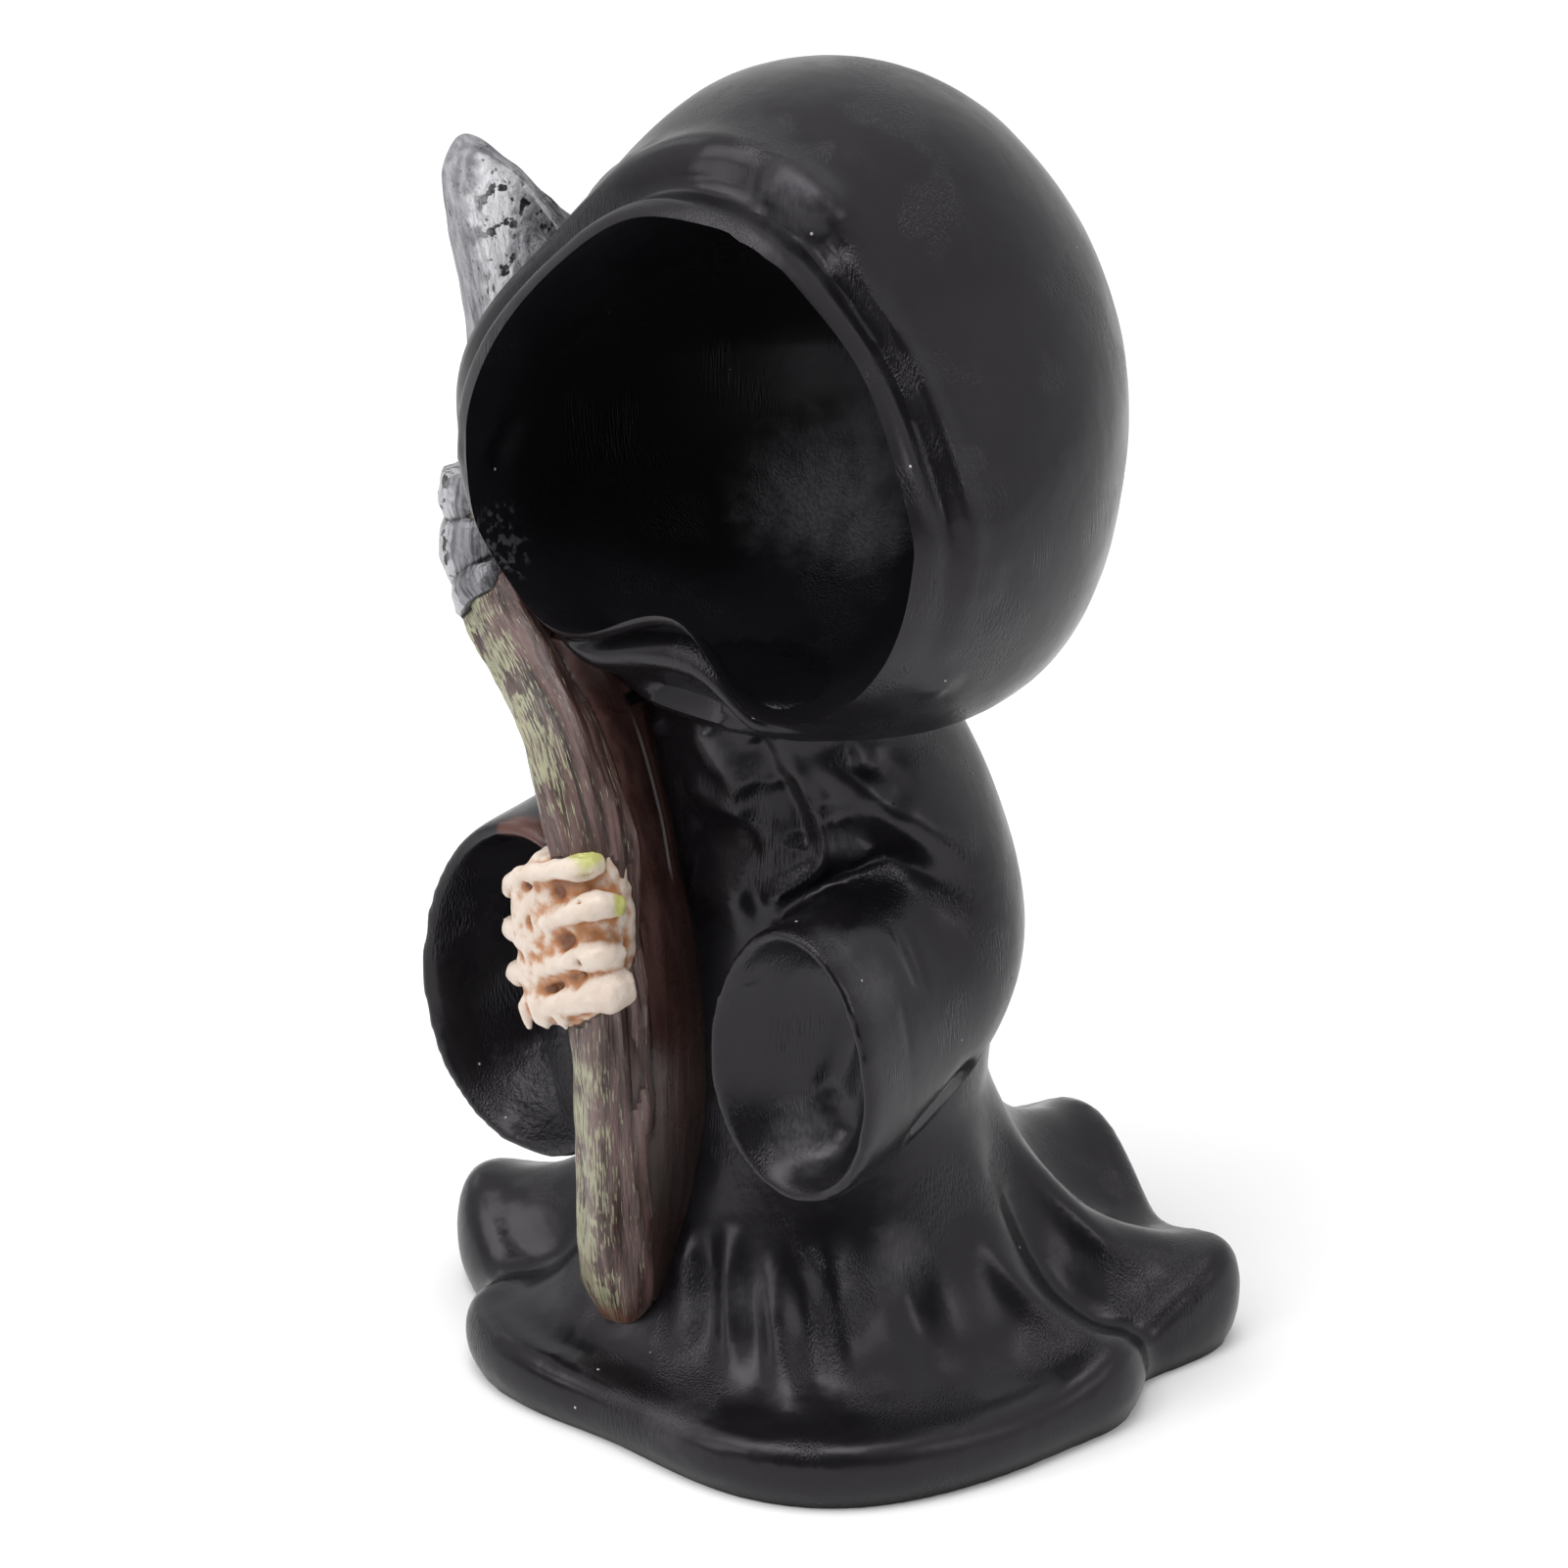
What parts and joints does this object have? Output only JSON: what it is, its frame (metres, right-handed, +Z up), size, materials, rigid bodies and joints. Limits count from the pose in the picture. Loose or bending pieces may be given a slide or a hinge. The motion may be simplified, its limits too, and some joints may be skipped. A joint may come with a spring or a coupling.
{
  "type": "grim reaper figurine",
  "caption": "Small cast-resin hooded reaper with an empty hood, open bell sleeves, a rippled robe hem and a scythe gripped by a bony hand.",
  "frame": {"origin": "on the flat underside, straight below the middle of the hood", "axes": "+Z up through the hood, the figure faces -Y, its right hand and scythe are towards -X"},
  "size_m": [0.0595, 0.0556, 0.1077],
  "materials": {
    "painted_resin": "satin black paint on cast resin"
  },
  "bodies": {
    "root": {"grim_reaper": "painted_resin"}
  },
  "joints": []
}
